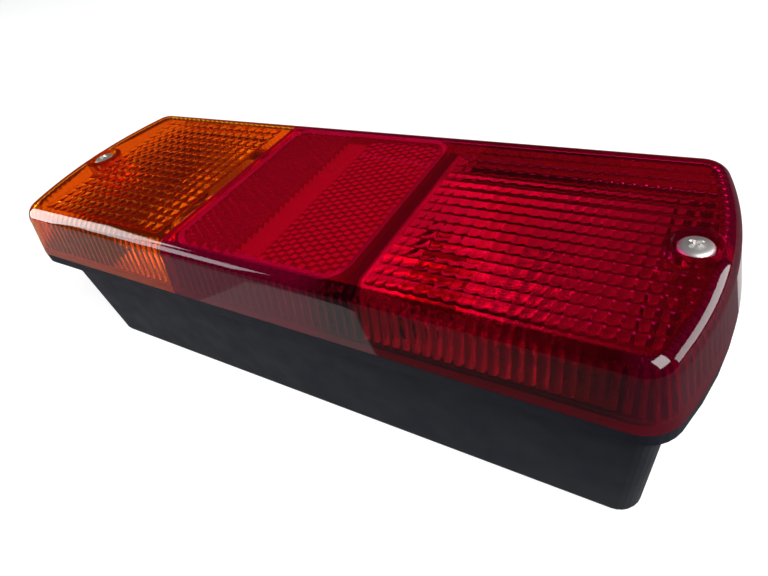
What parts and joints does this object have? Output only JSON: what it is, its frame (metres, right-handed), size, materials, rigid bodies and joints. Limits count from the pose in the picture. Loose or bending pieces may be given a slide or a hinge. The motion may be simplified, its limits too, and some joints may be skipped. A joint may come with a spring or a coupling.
{
  "type": "tail light cluster",
  "caption": "Surface-mounted rear lamp with an amber indicator window, a red stop and tail window and a reflex zone on a tapered black tub",
  "frame": {"origin": "centre of the flat back face, midway between the two lens screws", "axes": "+X along the lamp towards the red end, +Y across it, +Z out of the lens"},
  "size_m": [0.2428, 0.0844, 0.062],
  "materials": {
    "housing_plastic": "fine grained moulding",
    "rubber": "matt",
    "amber_lens": "clear gloss",
    "red_lens": "clear gloss",
    "red_plate": "smooth",
    "bright_steel": "bright zinc plate",
    "reflector_metal": "bright",
    "brass": "pressed strip",
    "bulb_glass": "clear",
    "fibre": "laminated fibre",
    "spring_steel": "drawn wire",
    "block_plastic": "moulded"
  },
  "bodies": {
    "root": {"housing": "housing_plastic", "lens_gasket": "rubber", "lens_amber": "amber_lens", "lens_red": "red_lens", "reflex_backing": "red_plate", "lens_screws": "bright_steel", "screw_seals": "rubber", "indicator_reflector": "reflector_metal", "stop_tail_reflector": "reflector_metal", "reflector_screws": "bright_steel", "indicator_bulb_holder": "brass", "stop_tail_bulb_holder": "brass", "holder_rivets": "bright_steel", "indicator_bulb": "bulb_glass", "stop_tail_bulb": "bulb_glass", "indicator_insulator": "fibre", "stop_tail_insulator": "fibre", "indicator_spring": "spring_steel", "stop_tail_spring": "spring_steel", "indicator_contact": "brass", "stop_tail_contacts": "brass", "terminal_block": "block_plastic", "terminal_screws": "bright_steel", "terminal_washers": "bright_steel", "indicator_feed_strip": "brass", "stop_feed_strip": "brass", "tail_feed_strip": "brass", "earth_strip": "brass", "cable_grommet": "rubber"}
  },
  "joints": []
}
